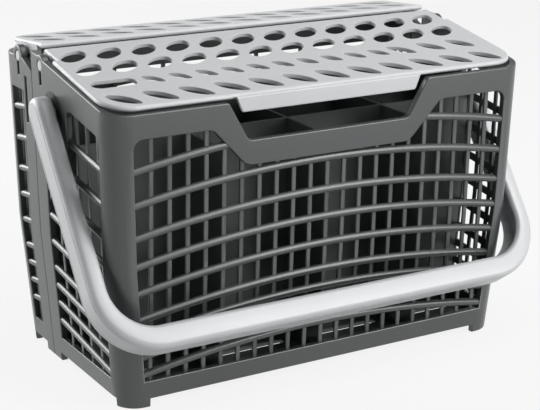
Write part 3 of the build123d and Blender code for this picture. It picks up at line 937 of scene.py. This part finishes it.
def handle():
    """Bail of channel section, open towards the basket, with bosses and pivot pins."""
    half_length = handle_half_width - elbow_radius + elbow_radius * pi / 2 + handle_reach - elbow_radius
    half = handle_breadth / 2

    def outer(along, across, depth):
        middle = grip_depth / 2
        across *= 1 - flange_bulge * ((depth - middle) / middle) ** 2
        on_ridge = abs(abs(across) - ridge_line * (1 - flange_bulge)) < touch
        groove = ridge_groove if depth < touch and on_ridge else 0
        return bail_point(along, across, depth + groove)

    bm = plate([stadium(half_length, half)], grip_depth, handle_edge, facets=5)
    slice_at(bm, 0, bail_slices())
    slice_at(bm, 1, [s * (ridge_line + k * ridge_half) for s in (-1, 1) for k in (-1, 0, 1)])
    slice_at(bm, 2, [grip_depth / 2])
    base = bend(bm, outer)

    hollow = plate([stadium(half_length, half - handle_skin)], grip_depth, edge_round)
    slice_at(hollow, 0, bail_slices())
    hollow = bend(hollow, lambda along, across, depth: bail_point(along, across, depth + handle_skin))
    web = handle_half_width - handle_skin / 2
    boss = x_rod([(half_width + boss_clearance, handle_boss_radius), (web, handle_boss_radius)],
                 handle_pin.y, handle_pin.z)
    start = half_width - wall - handle_pin_stub
    profile = [(start, handle_pin_radius - handle_pin_chamfer),
               (start + handle_pin_chamfer, handle_pin_radius), (web, handle_pin_radius)]
    pin = x_rod(profile, handle_pin.y, handle_pin.z)
    body = combine(base, [], [[hollow]])
    mesh = bmesh.new()
    mesh.from_mesh(body.data)
    bpy.data.objects.remove(body)
    return combine(mesh, [both_sides(boss), both_sides(pin)])


def new_material(name):
    material = bpy.data.materials.new(name)
    material.use_nodes = True
    return material, material.node_tree.nodes, material.node_tree.links


def moulded_plastic(name, colour, worn, roughness, grain, metallic=0.0, shine=0.5):
    """Moulded plastic: fine spark-eroded grain, soft flow marks, paler edges and uneven gloss."""
    material, nodes, links = new_material(name)
    shader = nodes["Principled BSDF"]
    shader.inputs["Metallic"].default_value = metallic
    shader.inputs["IOR"].default_value = plastic_ior
    shader.inputs["Specular IOR Level"].default_value = shine
    place = nodes.new("ShaderNodeTexCoord")

    flow = nodes.new("ShaderNodeTexNoise")
    flow.inputs["Scale"].default_value = flow_scale
    flow.inputs["Detail"].default_value = flow_detail
    links.new(place.outputs["Object"], flow.inputs["Vector"])
    tone = nodes.new("ShaderNodeMapRange")
    tone.inputs["To Min"].default_value = flow_tones[0]
    tone.inputs["To Max"].default_value = flow_tones[1]
    links.new(flow.outputs["Fac"], tone.inputs["Value"])

    geometry = nodes.new("ShaderNodeNewGeometry")
    edges = nodes.new("ShaderNodeMapRange")
    edges.inputs["From Min"].default_value = worn_edges[0]
    edges.inputs["From Max"].default_value = worn_edges[1]
    edges.inputs["To Max"].default_value = most_wear
    links.new(geometry.outputs["Pointiness"], edges.inputs["Value"])
    rubbed = nodes.new("ShaderNodeMix")
    rubbed.data_type = "RGBA"
    rubbed.inputs["A"].default_value = (*colour, 1)
    rubbed.inputs["B"].default_value = (*worn, 1)
    links.new(edges.outputs["Result"], rubbed.inputs["Factor"])
    shade = nodes.new("ShaderNodeVectorMath")
    shade.operation = "SCALE"
    links.new(rubbed.outputs["Result"], shade.inputs["Vector"])
    links.new(tone.outputs["Result"], shade.inputs["Scale"])
    links.new(shade.outputs["Vector"], shader.inputs["Base Color"])

    fine = nodes.new("ShaderNodeTexNoise")
    fine.inputs["Scale"].default_value = grain_scale
    fine.inputs["Detail"].default_value = grain_detail
    links.new(place.outputs["Object"], fine.inputs["Vector"])
    gloss = nodes.new("ShaderNodeMapRange")
    gloss.inputs["To Min"].default_value = roughness - gloss_spread
    gloss.inputs["To Max"].default_value = roughness + gloss_spread
    links.new(fine.outputs["Fac"], gloss.inputs["Value"])
    links.new(gloss.outputs["Result"], shader.inputs["Roughness"])
    bump = nodes.new("ShaderNodeBump")
    bump.inputs["Strength"].default_value = grain
    bump.inputs["Distance"].default_value = grain_height
    links.new(fine.outputs["Fac"], bump.inputs["Height"])
    links.new(bump.outputs["Normal"], shader.inputs["Normal"])
    return material


def camera_share(nodes, links):
    """1 for rays from the camera and for mirrored or refracted rays, 0 for the light on the object."""
    path = nodes.new("ShaderNodeLightPath")
    first = nodes.new("ShaderNodeMath")
    first.operation = "MAXIMUM"
    links.new(path.outputs["Is Camera Ray"], first.inputs[0])
    links.new(path.outputs["Is Glossy Ray"], first.inputs[1])
    second = nodes.new("ShaderNodeMath")
    second.operation = "MAXIMUM"
    links.new(first.outputs[0], second.inputs[0])
    links.new(path.outputs["Is Transmission Ray"], second.inputs[1])
    return second.outputs[0]


def make_floor():
    material, nodes, links = new_material("floor_paper")
    shader = nodes["Principled BSDF"]
    shader.inputs["Base Color"].default_value = floor_colour
    shader.inputs["Roughness"].default_value = floor_roughness
    glow = nodes.new("ShaderNodeEmission")
    glow.inputs["Color"].default_value = (1, 1, 1, 1)
    mix = nodes.new("ShaderNodeMixShader")
    share = nodes.new("ShaderNodeMath")
    share.operation = "MULTIPLY"
    share.inputs[1].default_value = floor_glow
    links.new(camera_share(nodes, links), share.inputs[0])
    links.new(share.outputs[0], mix.inputs[0])
    links.new(shader.outputs[0], mix.inputs[1])
    links.new(glow.outputs[0], mix.inputs[2])
    links.new(mix.outputs[0], nodes["Material Output"].inputs["Surface"])
    bpy.ops.mesh.primitive_plane_add(size=floor_size, location=(0, 0, -floor_below))
    floor = bpy.context.object
    floor.name = "floor"
    floor.data.materials.append(material)


def make_world():
    world = bpy.data.worlds.new("studio")
    world.use_nodes = True
    scene.world = world
    nodes, links = world.node_tree.nodes, world.node_tree.links
    light = nodes["Background"]
    light.inputs["Color"].default_value = sky_colour
    light.inputs["Strength"].default_value = sky_strength
    seen = nodes.new("ShaderNodeBackground")
    place = nodes.new("ShaderNodeTexCoord")
    split = nodes.new("ShaderNodeSeparateXYZ")
    links.new(place.outputs["Generated"], split.inputs[0])
    ceiling = nodes.new("ShaderNodeMapRange")
    ceiling.inputs["From Min"].default_value = ceiling_heights[0]
    ceiling.inputs["From Max"].default_value = ceiling_heights[1]
    ceiling.inputs["To Min"].default_value = ceiling_strengths[0]
    ceiling.inputs["To Max"].default_value = ceiling_strengths[1]
    links.new(split.outputs["Z"], ceiling.inputs["Value"])
    links.new(ceiling.outputs["Result"], seen.inputs["Strength"])
    mix = nodes.new("ShaderNodeMixShader")
    links.new(camera_share(nodes, links), mix.inputs[0])
    links.new(light.outputs[0], mix.inputs[1])
    links.new(seen.outputs[0], mix.inputs[2])
    links.new(mix.outputs[0], nodes["World Output"].inputs["Surface"])


def area_light(name, place, width, height, power):
    lamp = bpy.data.lights.new(name, "AREA")
    lamp.shape = "RECTANGLE"
    lamp.energy = power
    lamp.size = width
    lamp.size_y = height
    obj = bpy.data.objects.new(name, lamp)
    obj.location = place
    obj.rotation_euler = (Vector(lamp_target) - Vector(place)).to_track_quat("-Z", "Y").to_euler()
    scene.collection.objects.link(obj)


def make_lights():
    area_light("top_soft", place=(0.3, -0.35, 1.05), width=0.95, height=0.95, power=7.0)
    area_light("back_left_soft", place=(-0.7, 0.95, 0.45), width=0.9, height=0.9, power=17.0)
    area_light("front_soft", place=(0.6, -0.95, 0.5), width=0.5, height=0.95, power=10.0)


def make_camera():
    """Camera at the photograph's angle, aimed along its own azimuth, elevation and roll."""
    azimuth, elevation, roll = camera_azimuth, camera_elevation, camera_roll
    lens = bpy.data.cameras.new("camera")
    lens.sensor_width = camera_sensor
    lens.lens = camera_lens
    obj = bpy.data.objects.new("camera", lens)
    scene.collection.objects.link(obj)
    back = Vector((sin(azimuth) * cos(elevation), -cos(azimuth) * cos(elevation), sin(elevation)))
    right = Vector((cos(azimuth), sin(azimuth), 0))
    up = back.cross(right)
    level = right * cos(roll) + up * sin(roll)
    upright = up * cos(roll) - right * sin(roll)
    turn = Matrix((level, upright, back)).transposed()
    obj.matrix_world = Matrix.Translation(camera_place) @ turn.to_4x4()
    scene.camera = obj


basket_plastic = moulded_plastic("basket_plastic", colour=(0.05, 0.057, 0.056), worn=(0.12, 0.13, 0.13),
                                 roughness=0.3, grain=0.25, shine=0.8)
lid_plastic = moulded_plastic("lid_plastic", colour=(0.55, 0.56, 0.57), worn=(0.64, 0.64, 0.64),
                              roughness=0.36, grain=0.2)
handle_plastic = moulded_plastic("handle_plastic", colour=(0.54, 0.55, 0.56), worn=(0.62, 0.62, 0.62),
                                 roughness=0.4, grain=0.12, metallic=0.08)

settle(front_basket(), "front_basket_moulding", "basket", "front_basket", basket_plastic)
settle(rear_basket(), "rear_basket_moulding", "basket", "rear_basket", basket_plastic)
settle(front_lid(), "front_lid_moulding", "front_lid", "front_lid", lid_plastic)
settle(rear_lid(), "rear_lid_moulding", "rear_lid", "rear_lid", lid_plastic)
settle(handle(), "handle_moulding", "handle", "handle", handle_plastic)

make_floor()
make_world()
make_lights()
make_camera()
scene.view_settings.view_transform = "Standard"
